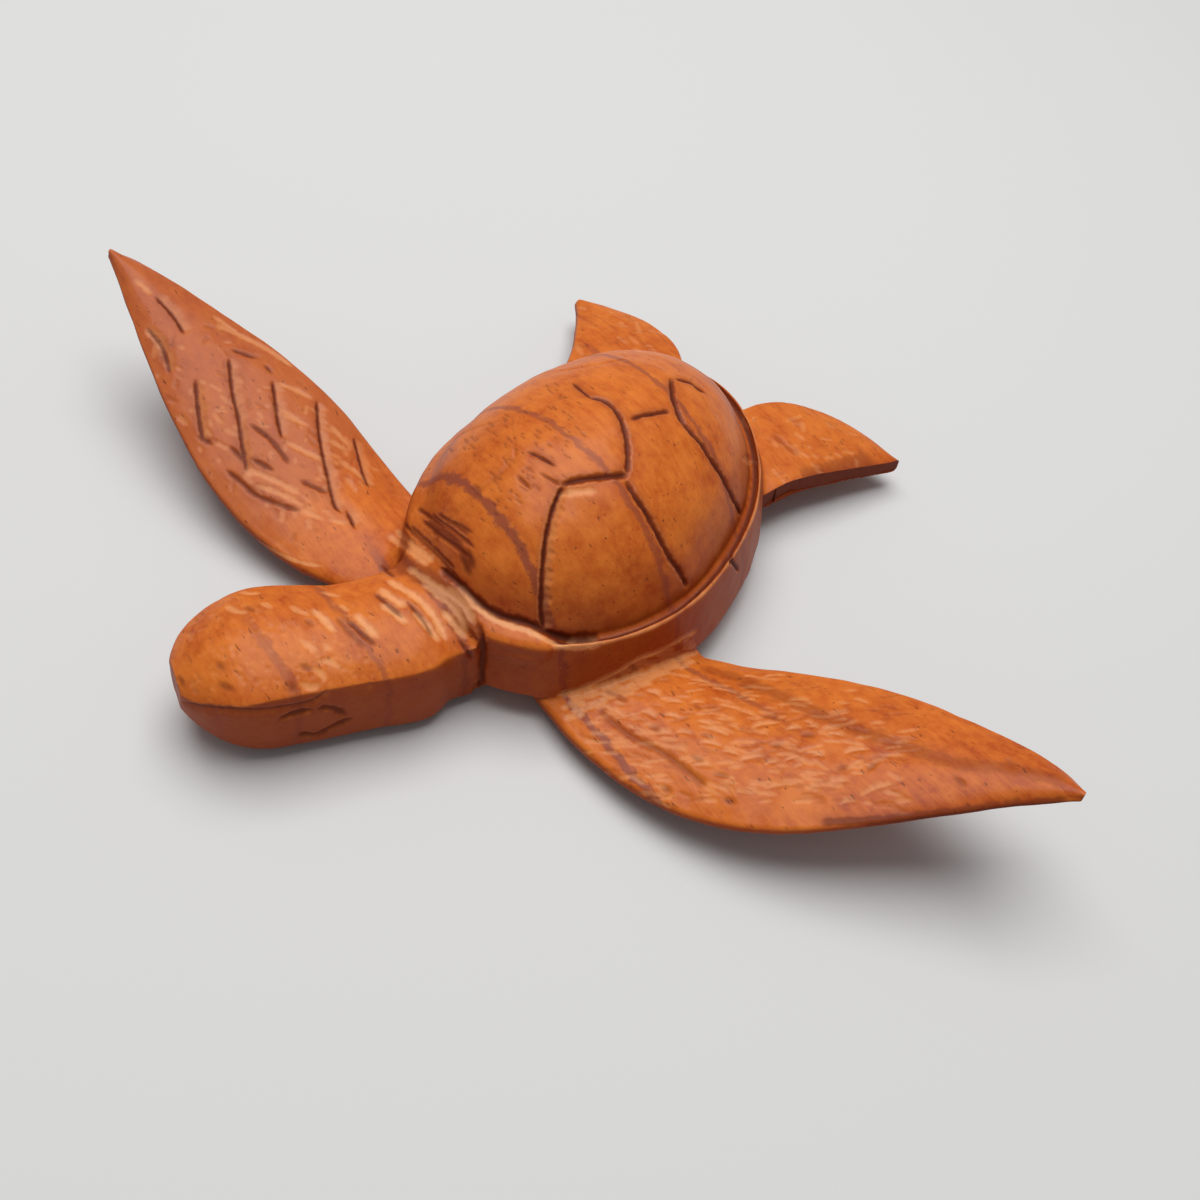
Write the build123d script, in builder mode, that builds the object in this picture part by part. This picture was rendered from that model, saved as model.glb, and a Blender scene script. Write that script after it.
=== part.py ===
from build123d import *
import os
from math import cos, radians, sin

# A sea turtle figurine, carved in reddish hardwood: a shell block, a head on its neck, two
# front flippers and two rear ones, each butted on a flat seat and held by glued pegs.
# Millimetres, +Z up, the head towards -Y and the turtle's own left side towards +X.
# The origin is the middle of the flat belly on which it rests.

# The shell block: a flat belly, a flank that leans in a little, and a domed carapace on top
shell_width = 61.0
shell_length = 84.0
widest_share = 0.43
belly_inset = 6.5
bilge_height = 6.0
flank_height = 12.0
flank_lean = 2.0
arris_width = 0.8
rim_groove_width = 1.0
rim_groove_depth = 1.1
dome_rise = 19.0
dome_sink = 5.0

# The scutes: straight cuts across the dome, each corner as shares of the shell's half width
# and of its reach forwards or backwards from the widest line, about a ridge off the middle
cut_width = 1.2
cut_depth = 0.9
ridge_shift = -1.8
front_corner_shares = (0.187, -0.34)
middle_corner_shares = (0.41, -0.06)
waist_corner_shares = (0.18, 0.15)
rear_corner_shares = (0.33, 0.33)
last_corner_shares = (0.25, 0.48)
front_rim_shares = (0.40, -0.80)
middle_rim_shares = (0.90, -0.155)
rear_rim_shares = (0.845, 0.37)
last_rim_shares = (0.50, 0.79)

# The tail: a short stub under the back of the shell
tail_width = 9.0
tail_height = 6.0
tail_length = 6.0
tail_floor = 2.0
tail_tip_share = 0.35

# The joints: pegs in blind holes, each with a thin film of glue round it
glue_gap = 0.05
hole_end_gap = 0.5
peg_chamfer = 0.4

# The neck and head, carved in one and turned towards the turtle's right
neck_turn = 24.0
neck_seat_gap = 0.8
neck_seat_slide = -2.5
neck_collar_depth = 16.0
head_turn = 21.0
head_reach = 41.0
head_width = 25.0
head_height = 16.4
head_floor = 2.4
brow_share = 0.80
cheek_share = 0.06
neck_peg_radius = 2.5
neck_peg_length = 22.0
neck_peg_spread_share = 0.48
neck_peg_lift = 0.0

# A front flipper, from its seat on the flank to its tip
front_seat_turn = -21.0
front_seat_gap = 0.5
front_seat_slide = -5.3
front_collar_depth = 12.0
left_tip_x = 98.0
right_tip_x = 102.0
flipper_tip_y = -15.0
flipper_tip_rise = 21.5
flipper_twist = 7.0
left_bow = 0.9
right_bow = 2.1
flipper_floor = 2.5
left_chord = 34.3
right_chord = 30.8
flipper_edge = 1.6
flipper_round_share = 0.9
flipper_crown = 3.0
front_peg_radius = 1.5
front_peg_length = 16.0
front_peg_spacing = 10.0
front_peg_lift = 2.0

# A rear flipper, whose tip droops below its root
rear_seat_turn = 45.0
rear_seat_gap = 0.5
rear_seat_slide = 0.0
rear_collar_depth = 10.0
rear_reach_out = 30.0
rear_tip_floor = 3.5
rear_root_lift = 3.5
rear_chord = 27.0
rear_edge = 1.7
rear_round_share = 0.35
rear_crown = 1.1
rear_peg_radius = 1.25
rear_peg_length = 12.0
rear_peg_spacing = 8.0
rear_peg_lift = 0.45

# What several pieces share
overrun = 5.0
half_width = shell_width / 2
front_reach = widest_share * shell_length
rear_reach = shell_length - front_reach
widest_y = (front_reach - rear_reach) / 2
rim_height = bilge_height + flank_height
dome_inset = flank_lean + arris_width + rim_groove_width
neck_peg_spacing = head_width * neck_peg_spread_share

# Stations along a front flipper: span, sweep, bow, turn, twist, chord, rise and thickness shares
flipper_shares = (
    (0.00, 0.00, 0.0, 1.0, 0.0, 0.90, 0.00, 1.00),
    (0.22, -0.13, 1.0, 0.4, 0.6, 1.03, 0.13, 0.96),
    (0.44, 0.10, 0.9, 0.0, 1.0, 0.98, 0.36, 0.84),
    (0.62, 0.52, -0.1, 0.0, 1.0, 0.78, 0.57, 0.72),
    (0.78, 0.86, -0.7, 0.0, 1.0, 0.51, 0.76, 0.60),
    (0.91, 1.02, -0.5, 0.0, 1.0, 0.26, 0.91, 0.45),
    (1.00, 1.00, 0.0, 0.0, 1.0, 0.06, 1.00, 0.32),
)

# Stations along a rear flipper: reach, slide, chord, rise and thickness shares
rear_shares = (
    (0.00, 0.00, 1.00, 1.00, 1.00),
    (0.40, 0.14, 0.82, 0.78, 0.96),
    (0.77, 0.08, 0.46, 0.34, 0.84),
    (1.00, -0.06, 0.08, 0.00, 0.60),
)

# Stations along the neck and head: reach, turn, width, jaw, floor and height shares
head_shares = (
    (0.00, 0.00, 0.87, 1.00, 0.00, 1.00),
    (0.23, 0.04, 0.91, 1.00, 0.00, 1.02),
    (0.50, 0.72, 0.92, 0.96, 0.00, 1.08),
    (0.745, 0.65, 0.92, 0.88, 0.01, 1.06),
    (0.90, 0.43, 0.70, 0.78, 0.12, 0.80),
    (1.00, 0.43, 0.28, 0.60, 0.34, 0.40),
)


def egg_face(inset, height):
    """The shell's outline in plan, moved in by inset: two half ellipses that meet at its widest line."""
    with BuildSketch(Plane.XY.offset(height)) as face:
        with BuildLine():
            EllipticalCenterArc((0, widest_y), half_width - inset, rear_reach - inset, 0, arc_size=180)
            EllipticalCenterArc((0, widest_y), half_width - inset, front_reach - inset, 180, arc_size=180)
        make_face()
    return face.sketch


def half_dome(reach, inset, turn):
    """A quarter ellipsoid: the dome before or behind the shell's widest line, its waist below the rim."""
    with BuildPart() as half:
        Sphere(1, arc_size1=0, arc_size3=180, align=(Align.CENTER, Align.MIN, Align.MIN))
        across = half_width - dome_inset - inset
        along = reach - dome_inset - inset
        scale(by=(across, along, dome_rise + dome_sink - inset))
    return half.part.rotate(Axis.Z, turn).moved(Location((0, widest_y, rim_height - dome_sink)))


def rim_point(shares, side):
    """A point on the rim, from its shares, on one side of the middle line."""
    reach = rear_reach if shares[1] > 0 else front_reach
    return (side * shares[0] * half_width, widest_y + shares[1] * reach)


def corner_point(shares, side):
    """A corner of the scutes, from its shares, on one side of the ridge."""
    across, along = rim_point(shares, side)
    return (ridge_shift + across, along)


def seat_plane(turn, gap, slide, height, side):
    """An upright plane just clear of the flank, facing turn degrees from straight out on its side."""
    facing = Vector(side * cos(radians(turn)), sin(radians(turn)), 0)
    along = Vector(-facing.Y, facing.X, 0)
    reach = rear_reach if turn > 0 else front_reach
    support = ((half_width * facing.X) ** 2 + (reach * facing.Y) ** 2) ** 0.5
    touch_x = half_width**2 * facing.X / support
    touch_y = widest_y + reach**2 * facing.Y / support
    origin = Vector(touch_x, touch_y, height) + facing * gap + along * (side * slide)
    return Plane(origin=origin, x_dir=along, z_dir=facing)


def blade_face(plane, chord, edge, crown, round_share):
    """A flipper's cross-section: flat below, crowned above, its edges round or nearly square."""
    half = chord / 2
    flat = half - edge * round_share
    with BuildSketch(plane) as section:
        with BuildLine():
            ThreePointArc((-flat, edge), (0, edge + crown), (flat, edge))
            ThreePointArc((flat, edge), (half, 0), (flat, -edge))
            Line((flat, -edge), (-flat, -edge))
            ThreePointArc((-flat, -edge), (-half, 0), (-flat, edge))
        make_face()
    return section.sketch


def drill(seat, radius, length, spacing, lift):
    """Cut the two blind holes of a joint, half of each on either side of its seat."""
    for shift in (-spacing / 2, spacing / 2):
        with Locations(seat.location * Location((shift, lift, 0))):
            Cylinder(radius + glue_gap, length + 2 * hole_end_gap, mode=Mode.SUBTRACT)


def head_face(plane, width, height, jaw_share):
    """A cross-section of the neck or head: a broad crowned top, a sharp brow on each side, a round jaw."""
    half = width / 2
    brow = height * brow_share - height / 2
    jaw = half * jaw_share
    cheek = (half + jaw) / 2 + half * cheek_share
    with BuildSketch(plane) as section:
        with BuildLine():
            ThreePointArc((-half, brow), (0, height / 2), (half, brow))
            ThreePointArc((half, brow), (cheek, -height / 6), (jaw, -height / 2))
            Line((jaw, -height / 2), (-jaw, -height / 2))
            ThreePointArc((-jaw, -height / 2), (-cheek, -height / 6), (-half, brow))
        make_face()
    return section.sketch


def finish(piece, name):
    """Name a finished piece and write it."""
    piece.part.label = name
    export_step(piece.part, f"parts/{name}.step")


os.makedirs("parts", exist_ok=True)

# What the collars of the body share with the roots that they meet
root_chord_share = flipper_shares[0][5]
neck_width_share, neck_jaw_share, neck_floor_share = head_shares[0][2:5]

# The seats: the neck's at the middle of its height, a flipper's at the middle of its edge
flipper_root_height = flipper_floor + flipper_edge
rear_root_height = rear_tip_floor + rear_root_lift + rear_edge
neck_root_height = head_floor + head_height * neck_floor_share + head_height / 2
neck_seat = seat_plane(neck_turn - 90, neck_seat_gap, neck_seat_slide, neck_root_height, -1)
front_seats = [
    seat_plane(front_seat_turn, front_seat_gap, front_seat_slide, flipper_root_height, side)
    for side in (1, -1)
]
rear_seats = [
    seat_plane(rear_seat_turn, rear_seat_gap, rear_seat_slide, rear_root_height, side)
    for side in (1, -1)
]

# The dome: a core as deep as the cuts, and over it the skin that the cuts divide into scutes
corner_shares = (
    front_corner_shares,
    middle_corner_shares,
    waist_corner_shares,
    rear_corner_shares,
    last_corner_shares,
)
with BuildPart() as skin:
    add(half_dome(rear_reach, 0, 0))
    add(half_dome(front_reach, 0, 180))
    with BuildSketch(Plane.XY.offset(rim_height)):
        with BuildLine():
            for side in (1, -1):
                Polyline(*[corner_point(shares, side) for shares in corner_shares])
                for corner, rim in (
                    (front_corner_shares, front_rim_shares),
                    (middle_corner_shares, middle_rim_shares),
                    (rear_corner_shares, rear_rim_shares),
                    (last_corner_shares, last_rim_shares),
                ):
                    Line(corner_point(corner, side), rim_point(rim, side))
            for shares in (front_corner_shares, waist_corner_shares, last_corner_shares):
                Line(corner_point(shares, 1), corner_point(shares, -1))
        trace(line_width=cut_width)
    extrude(amount=dome_rise + overrun, mode=Mode.SUBTRACT)

# The body: belly, flank, collars trimmed to the neck's seat, rim groove, dome and tail
with BuildPart() as body:
    loft([egg_face(belly_inset, 0), egg_face(0, bilge_height)])
    loft([egg_face(0, bilge_height), egg_face(flank_lean, rim_height)])
    neck_root = head_face(neck_seat, head_width * neck_width_share, head_height, neck_jaw_share)
    extrude(neck_root, amount=-neck_collar_depth)
    for seat, chord in zip(front_seats, (left_chord, right_chord)):
        root_chord = chord * root_chord_share
        flipper_root = blade_face(seat, root_chord, flipper_edge, flipper_crown, flipper_round_share)
        extrude(flipper_root, amount=-front_collar_depth)
    for seat in rear_seats:
        flipper_root = blade_face(seat, rear_chord, rear_edge, rear_crown, rear_round_share)
        extrude(flipper_root, amount=-rear_collar_depth)
    with BuildSketch(neck_seat):
        Rectangle(head_width, head_height * 2)
    extrude(amount=overrun, mode=Mode.SUBTRACT)
    groove_floor = egg_face(flank_lean + arris_width, rim_height - rim_groove_depth)
    extrude(groove_floor, amount=rim_groove_depth + overrun, mode=Mode.SUBTRACT)
    add(skin.part)
    add(half_dome(rear_reach, cut_depth, 0))
    add(half_dome(front_reach, cut_depth, 180))
    with BuildSketch(Plane.XZ.offset(-(widest_y + rear_reach - overrun))):
        with Locations((0, tail_floor + tail_height / 2)):
            Ellipse(tail_width / 2, tail_height / 2)
    with BuildSketch(Plane.XZ.offset(-(widest_y + rear_reach + tail_length))):
        with Locations((0, tail_floor + tail_height * tail_tip_share / 2)):
            Ellipse(tail_width * tail_tip_share / 2, tail_height * tail_tip_share / 2)
    loft()
    drill(neck_seat, neck_peg_radius, neck_peg_length, neck_peg_spacing, neck_peg_lift)
    for seat in front_seats:
        drill(seat, front_peg_radius, front_peg_length, front_peg_spacing, front_peg_lift)
    for seat in rear_seats:
        drill(seat, rear_peg_radius, rear_peg_length, rear_peg_spacing, rear_peg_lift)
finish(body, "body")

# The head and neck
with BuildPart() as head_and_neck:
    stations = []
    spot = neck_seat.origin
    reached = 0.0
    for reach_share, turn_share, width_share, jaw_share, floor_share, height_share in head_shares:
        heading = radians(neck_turn + turn_share * head_turn)
        facing = Vector(-sin(heading), -cos(heading), 0)
        spot = spot + facing * (head_reach * (reach_share - reached))
        reached = reach_share
        height = head_height * height_share
        lift = head_floor + head_height * floor_share + height / 2
        along = Vector(-facing.Y, facing.X, 0)
        station = Plane(origin=(spot.X, spot.Y, lift), x_dir=along, z_dir=facing)
        stations.append(head_face(station, head_width * width_share, height, jaw_share))
    loft(stations)
    drill(neck_seat, neck_peg_radius, neck_peg_length, neck_peg_spacing, neck_peg_lift)
finish(head_and_neck, "head_and_neck")

# The front flippers: the left one, then the right one with its slightly longer reach
for seat, side, tip_x, bow, chord, name in (
    (front_seats[0], 1, left_tip_x, left_bow, left_chord, "front_flipper_left"),
    (front_seats[1], -1, right_tip_x, right_bow, right_chord, "front_flipper_right"),
):
    with BuildPart() as front_flipper:
        stations = []
        for shares in flipper_shares:
            span_share, sweep_share, bow_share, turn_share, twist_share = shares[:5]
            chord_share, rise_share, thick_share = shares[5:]
            turn = radians(front_seat_turn * turn_share)
            twist = radians(flipper_twist * twist_share)
            facing = Vector(side * cos(turn), sin(turn), 0)
            along = Vector(-facing.Y, facing.X, 0) * cos(twist) + Vector(0, 0, side * sin(twist))
            spot_x = seat.origin.X + (side * tip_x - seat.origin.X) * span_share
            spot_y = seat.origin.Y + (flipper_tip_y - seat.origin.Y) * sweep_share + bow * bow_share
            spot_z = seat.origin.Z + flipper_tip_rise * rise_share
            station = Plane(origin=(spot_x, spot_y, spot_z), x_dir=along, z_dir=facing)
            edge = flipper_edge * thick_share
            crown = flipper_crown * thick_share
            stations.append(blade_face(station, chord * chord_share, edge, crown, flipper_round_share))
        loft(stations)
        drill(seat, front_peg_radius, front_peg_length, front_peg_spacing, front_peg_lift)
    finish(front_flipper, name)

# The rear flippers
with BuildPart() as rear_flipper_left:
    stations = []
    seat = rear_seats[0]
    for reach_share, slide_share, chord_share, rise_share, thick_share in rear_shares:
        outward = seat.z_dir * (rear_reach_out * reach_share)
        sideways = seat.x_dir * (rear_chord * slide_share)
        drop = Vector(0, 0, rear_root_lift * (rise_share - 1))
        spot = seat.origin + outward + sideways + drop
        station = Plane(origin=spot, x_dir=seat.x_dir, z_dir=seat.z_dir)
        edge = rear_edge * thick_share
        crown = rear_crown * thick_share
        chord = rear_chord * chord_share
        stations.append(blade_face(station, chord, edge, crown, rear_round_share))
    loft(stations)
    drill(seat, rear_peg_radius, rear_peg_length, rear_peg_spacing, rear_peg_lift)
finish(rear_flipper_left, "rear_flipper_left")
with BuildPart() as rear_flipper_right:
    mirror(rear_flipper_left.part, about=Plane.YZ)
finish(rear_flipper_right, "rear_flipper_right")

# The pegs: two to a joint, half of each in the body and half in what it carries
neck_peg = (neck_peg_radius, neck_peg_length, neck_peg_spacing, neck_peg_lift)
front_peg = (front_peg_radius, front_peg_length, front_peg_spacing, front_peg_lift)
rear_peg = (rear_peg_radius, rear_peg_length, rear_peg_spacing, rear_peg_lift)
for joint, seat, (radius, length, spacing, lift) in (
    ("neck", neck_seat, neck_peg),
    ("front_left", front_seats[0], front_peg),
    ("front_right", front_seats[1], front_peg),
    ("rear_left", rear_seats[0], rear_peg),
    ("rear_right", rear_seats[1], rear_peg),
):
    for number, shift in ((1, -spacing / 2), (2, spacing / 2)):
        with BuildPart(seat) as peg:
            with Locations((shift, lift, 0)):
                Cylinder(radius, length)
            chamfer(peg.edges().filter_by(GeomType.CIRCLE), peg_chamfer)
        finish(peg, f"{joint}_peg_{number}")
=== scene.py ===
# %% [markdown]
# A sea turtle carved in reddish hardwood, stained and varnished. On the bench it is a shell
# block with a head and four flippers glued to it on pegs, and the knife runs over all of them
# alike. So this lesson does what the carver does: it joins the sawn blanks, carves the whole
# figure in one go, and only then saws it apart at the glue joints. The surface runs on over
# each joint, because it was one surface when it was cut.

# %% Load the frame
from math import ceil, cos, pi, radians, sin

import bpy
import numpy as np
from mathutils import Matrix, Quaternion, Vector
from mathutils.bvhtree import BVHTree


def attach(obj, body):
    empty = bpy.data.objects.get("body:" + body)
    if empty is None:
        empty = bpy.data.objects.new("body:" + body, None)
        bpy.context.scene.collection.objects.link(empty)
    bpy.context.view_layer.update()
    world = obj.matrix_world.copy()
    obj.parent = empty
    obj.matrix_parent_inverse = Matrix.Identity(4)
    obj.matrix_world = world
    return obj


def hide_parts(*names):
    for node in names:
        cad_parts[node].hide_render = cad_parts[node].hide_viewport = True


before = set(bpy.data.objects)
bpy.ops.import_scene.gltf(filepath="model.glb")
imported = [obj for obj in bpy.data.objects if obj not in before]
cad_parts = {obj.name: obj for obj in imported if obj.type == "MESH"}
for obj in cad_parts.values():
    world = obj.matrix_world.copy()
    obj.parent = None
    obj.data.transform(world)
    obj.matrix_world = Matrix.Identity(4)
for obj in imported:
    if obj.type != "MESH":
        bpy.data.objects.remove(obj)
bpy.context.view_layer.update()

mm = 0.001
print("nodes:", ", ".join(sorted(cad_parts)))

# %% [markdown]
# The camera comes first, because most cuts are placed by looking through it. It stands in
# front of the turtle's left shoulder and looks down at it steeply, a little rolled. Its
# values were found by matching pairs of left and right points of the figure.

# %% Camera
photo_size = 1200
focal_pixels = 1458
camera_azimuth = radians(24.9)
camera_elevation = radians(49.3)
camera_roll = radians(10.5)
camera_distance = 259 * mm
camera_aim = Vector((11.2, -14.8, 8.0)) * mm


def direction(azimuth, elevation):
    """The unit vector from the figure to a place seen from it at these angles."""
    return Vector((sin(azimuth) * cos(elevation), -cos(azimuth) * cos(elevation), sin(elevation)))


camera_back = direction(camera_azimuth, camera_elevation)
camera_turn = camera_back.to_track_quat("Z", "Y") @ Quaternion((0, 0, 1), camera_roll)
bpy.ops.object.select_all(action="DESELECT")
bpy.ops.object.camera_add(location=camera_aim + camera_back * camera_distance)
camera = bpy.context.object
camera.name = "camera"
camera.rotation_mode = "QUATERNION"
camera.rotation_quaternion = camera_turn
camera.data.lens = camera.data.sensor_width * focal_pixels / photo_size
camera.data.clip_start = 10 * mm
bpy.context.scene.camera = camera
bpy.context.scene.view_settings.view_transform = "Standard"
print("lens", round(camera.data.lens, 1), "mm, camera at", [round(c, 3) for c in camera.location])

# %% [markdown]
# The light in the photograph is soft and comes from high above, a little behind the figure. It
# leaves the near flank dark and drops the shadows towards the viewer. One large soft lamp does
# that, and a dim even world fills the shadows.

# %% Light
key_elevation = radians(77)
key_azimuth = camera_azimuth + radians(200)
key_distance = 900 * mm
key_size = 800 * mm
key_power = 9.0
fill_strength = 0.24
fill_colour = (0.94, 0.97, 1.0, 1)

key_back = direction(key_azimuth, key_elevation)
bpy.ops.object.light_add(
    type="AREA",
    location=camera_aim + key_back * key_distance,
    rotation=key_back.to_track_quat("Z", "Y").to_euler(),
)
key_lamp = bpy.context.object
key_lamp.name = "key_lamp"
key_lamp.data.size = key_size
key_lamp.data.energy = key_power
world = bpy.data.worlds.new("room")
world.use_nodes = True
background = world.node_tree.nodes["Background"]
background.inputs["Color"].default_value = fill_colour
background.inputs["Strength"].default_value = fill_strength
bpy.context.scene.world = world
print("key lamp", key_power, "W, fill", fill_strength)

# %% [markdown]
# The floor is a plain pale sheet, far wider than the view, so that no edge shows.

# %% Floor
floor_size = 6000 * mm
floor_drop = 0.05 * mm
floor_colour = (0.66, 0.655, 0.645, 1)
floor_roughness = 0.8
floor_gloss = 0.05

bpy.ops.mesh.primitive_plane_add(size=floor_size, location=(0, 0, -floor_drop))
floor = bpy.context.object
floor.name = "floor"
floor_finish = bpy.data.materials.new("floor_paint")
floor_finish.use_nodes = True
floor_shader = floor_finish.node_tree.nodes["Principled BSDF"]
floor_shader.inputs["Base Color"].default_value = floor_colour
floor_shader.inputs["Roughness"].default_value = floor_roughness
floor_shader.inputs["Specular IOR Level"].default_value = floor_gloss
floor.data.materials.append(floor_finish)
print("floor", floor_size, "m wide")

# %% [markdown]
# Modelling goes through Blender's operators, which act on whatever is selected. Small helpers
# keep that under control: they pick a single object, stretch a new one about its middle, apply
# a modifier, and copy a CAD node's mesh with its doubled points merged.

# %% Modelling helpers
weld_gap = 0.001 * mm


def pick(piece):
    """Select one object and nothing else."""
    if bpy.context.object and bpy.context.object.mode != "OBJECT":
        bpy.ops.object.mode_set(mode="OBJECT")
    bpy.ops.object.select_all(action="DESELECT")
    piece.select_set(True)
    bpy.context.view_layer.objects.active = piece


def stretch(piece, scale):
    """Scale all points of a piece about its middle, or only the selected ones."""
    bpy.ops.object.mode_set(mode="EDIT")
    bpy.ops.transform.resize(value=scale, center_override=piece.location)
    bpy.ops.object.mode_set(mode="OBJECT")


def apply_modifier(piece, kind, **settings):
    """Add a modifier of a kind, with its settings, and apply it."""
    pick(piece)
    modifier = piece.modifiers.new(kind.lower(), kind)
    for name, value in settings.items():
        setattr(modifier, name, value)
    bpy.ops.object.modifier_apply(modifier=modifier.name)


def blank_copy(node):
    """A new object with a merged copy of a CAD node's mesh."""
    piece = bpy.data.objects.new("blank_" + node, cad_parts[node].data.copy())
    bpy.context.scene.collection.objects.link(piece)
    piece.data.materials.clear()
    pick(piece)
    bpy.ops.object.mode_set(mode="EDIT")
    bpy.ops.mesh.select_all(action="SELECT")
    bpy.ops.mesh.remove_doubles(threshold=weld_gap)
    bpy.ops.object.mode_set(mode="OBJECT")
    return piece


print("helpers ready")

# %% [markdown]
# The blanks are copies of the CAD solids, so every size is right from the start. The scutes
# on the dome are cut again here, as the real ones run, so a second dome first fills the CAD
# model's cuts: a sphere, stretched more to the back than to the front and cut off at the foot.

# %% Blanks
carved_nodes = (
    "body",
    "head_and_neck",
    "front_flipper_left",
    "front_flipper_right",
    "rear_flipper_left",
    "rear_flipper_right",
)
shell_middle_y = -5.88
dome_centre = Vector((0, shell_middle_y, 13.0)) * mm
dome_half_width = 26.7 * mm
dome_front_reach = 32.32 * mm
dome_rear_reach = 44.08 * mm
dome_height = 24.0 * mm
dome_foot = 12.0 * mm

blanks = [blank_copy(node) for node in carved_nodes]
bpy.ops.object.select_all(action="DESELECT")
bpy.ops.mesh.primitive_uv_sphere_add(segments=128, ring_count=64, radius=1, location=dome_centre)
dome = bpy.context.object
stretch(dome, (dome_half_width, dome_rear_reach, dome_height))
bpy.ops.object.mode_set(mode="EDIT")
bpy.context.tool_settings.mesh_select_mode = (True, False, False)
bpy.ops.mesh.select_all(action="DESELECT")
bpy.ops.object.mode_set(mode="OBJECT")
for vertex in dome.data.vertices:
    vertex.select = vertex.co.y < 0
stretch(dome, (1, dome_front_reach / dome_rear_reach, 1))
bpy.ops.object.mode_set(mode="EDIT")
bpy.ops.mesh.select_all(action="SELECT")
bpy.ops.mesh.bisect(
    plane_co=(0, 0, dome_foot), plane_no=(0, 0, 1), use_fill=True, clear_inner=True
)
bpy.ops.object.mode_set(mode="OBJECT")
print("dome", [round(d / mm, 1) for d in dome.dimensions], "mm")

# %% [markdown]
# Three small fillers put wood where the photograph shows it and the CAD model has none. A
# piece of a stretched ring fills the rim groove at the front on the far side, a flat mound
# lies between the shell and the neck, and a wedge widens the neck at its near wall.

# %% Fillers
groove_half_width = 27.3
groove_front_reach = 32.9
groove_rear_reach = 44.7
roll_centre = Vector((0, shell_middle_y, 16.6)) * mm
roll_thickness = 0.075
roll_stretch = Vector((groove_half_width, groove_front_reach, 30)) * mm
roll_ends = Vector((12.8, -35.0, 0))
roll_outward = Vector((-0.655, -0.755, 0))
mound_centre = Vector((-1.5, -35.6, 14.3)) * mm
mound_half_sizes = Vector((15.5, 5.6, 5.5)) * mm
wedge_centre = Vector((-0.1, -46.2, 9.0)) * mm
wedge_size = Vector((3, 11, 13)) * mm
wedge_turn = radians(-24.3)

bpy.ops.object.select_all(action="DESELECT")
bpy.ops.mesh.primitive_torus_add(
    major_radius=1, minor_radius=roll_thickness, major_segments=160, location=roll_centre
)
roll = bpy.context.object
stretch(roll, roll_stretch)
bpy.ops.object.mode_set(mode="EDIT")
bpy.ops.mesh.bisect(
    plane_co=roll_ends * mm, plane_no=roll_outward, use_fill=True, clear_inner=True
)
bpy.ops.object.mode_set(mode="OBJECT")

bpy.ops.object.select_all(action="DESELECT")
bpy.ops.mesh.primitive_uv_sphere_add(segments=64, ring_count=32, radius=1, location=mound_centre)
mound = bpy.context.object
stretch(mound, mound_half_sizes)

bpy.ops.object.select_all(action="DESELECT")
bpy.ops.mesh.primitive_cube_add(
    size=1, location=wedge_centre, rotation=(0, 0, wedge_turn), scale=wedge_size
)
wedge = bpy.context.object
print("fillers: roll, mound, wedge", [round(d / mm, 1) for d in wedge.dimensions], "mm")

# %% [markdown]
# Joined, the blanks are still separate shells. A voxel remesh melts them into one skin of
# small even quads, fine enough to carve in. It also closes the peg holes, which are drilled
# again at the end.

# %% One figure
finest_voxel = 0.26 * mm
voxel = finest_voxel

pick(blanks[0])
for piece in blanks[1:] + [dome, roll, mound, wedge]:
    piece.select_set(True)
bpy.ops.object.join()
figure = bpy.context.object
figure.name = "figure"
bpy.ops.object.transform_apply(location=True, rotation=True, scale=True)
apply_modifier(figure, "REMESH", mode="VOXEL", voxel_size=voxel)
apply_modifier(figure, "SMOOTH", factor=0.5, iterations=2)
print("figure:", len(figure.data.vertices), "vertices")

# %% [markdown]
# Carving moves the points of that skin. They are read into arrays once, in millimetres, and
# written back when the last cut is made. An operator for each cut would take minutes.

# %% Skin
skin = figure.data
point_count = len(skin.vertices)


def read_points(name):
    """One vector for each point of the skin: its place or its normal."""
    values = np.empty(point_count * 3)
    skin.vertices.foreach_get(name, values)
    return values.reshape(-1, 3)


def ramp(value, low, high):
    """0 below low, 1 above high, and an S curve between."""
    share = np.clip((value - low) / (high - low), 0, 1)
    return share * share * (3 - 2 * share)


places = read_points("co") / mm
ends = np.empty(len(skin.edges) * 2, dtype=np.int64)
skin.edges.foreach_get("vertices", ends)
ends = ends.reshape(-1, 2)
print("skin from", places.min(axis=0).round(1), "to", places.max(axis=0).round(1), "mm")

# %% [markdown]
# Where the far flipper and the neck grow out of the body, the carver has sanded the corners to
# smooth hollows, and the edge outside the rim groove is rounded too. Sanding draws each point
# towards the middle of its neighbours, many times over, and fades out towards the edge of the
# place. Where the rim is, follows from the egg shape of the shell.

# %% Sand the shoulders


def sand(strength, rounds):
    """Draw points towards their neighbours, as sandpaper does, where strength is above 0."""
    near = ends[(strength[ends] > 0).any(axis=1)]
    used, local = np.unique(near, return_inverse=True)
    first, second = local.reshape(-1, 2).T
    count = np.bincount(local.ravel(), minlength=len(used))[:, None]
    pull = strength[used][:, None]
    here = places[used]
    for _ in range(rounds):
        total = [
            np.bincount(first, here[second, axis], len(used))
            + np.bincount(second, here[first, axis], len(used))
            for axis in range(3)
        ]
        here = here + pull * (np.stack(total, axis=1) / count - here)
    places[used] = here


def around(centre, inner, outer):
    """1 within inner of a place, 0 beyond outer."""
    return 1 - ramp(np.linalg.norm(places - np.array(centre), axis=1), inner, outer)


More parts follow.
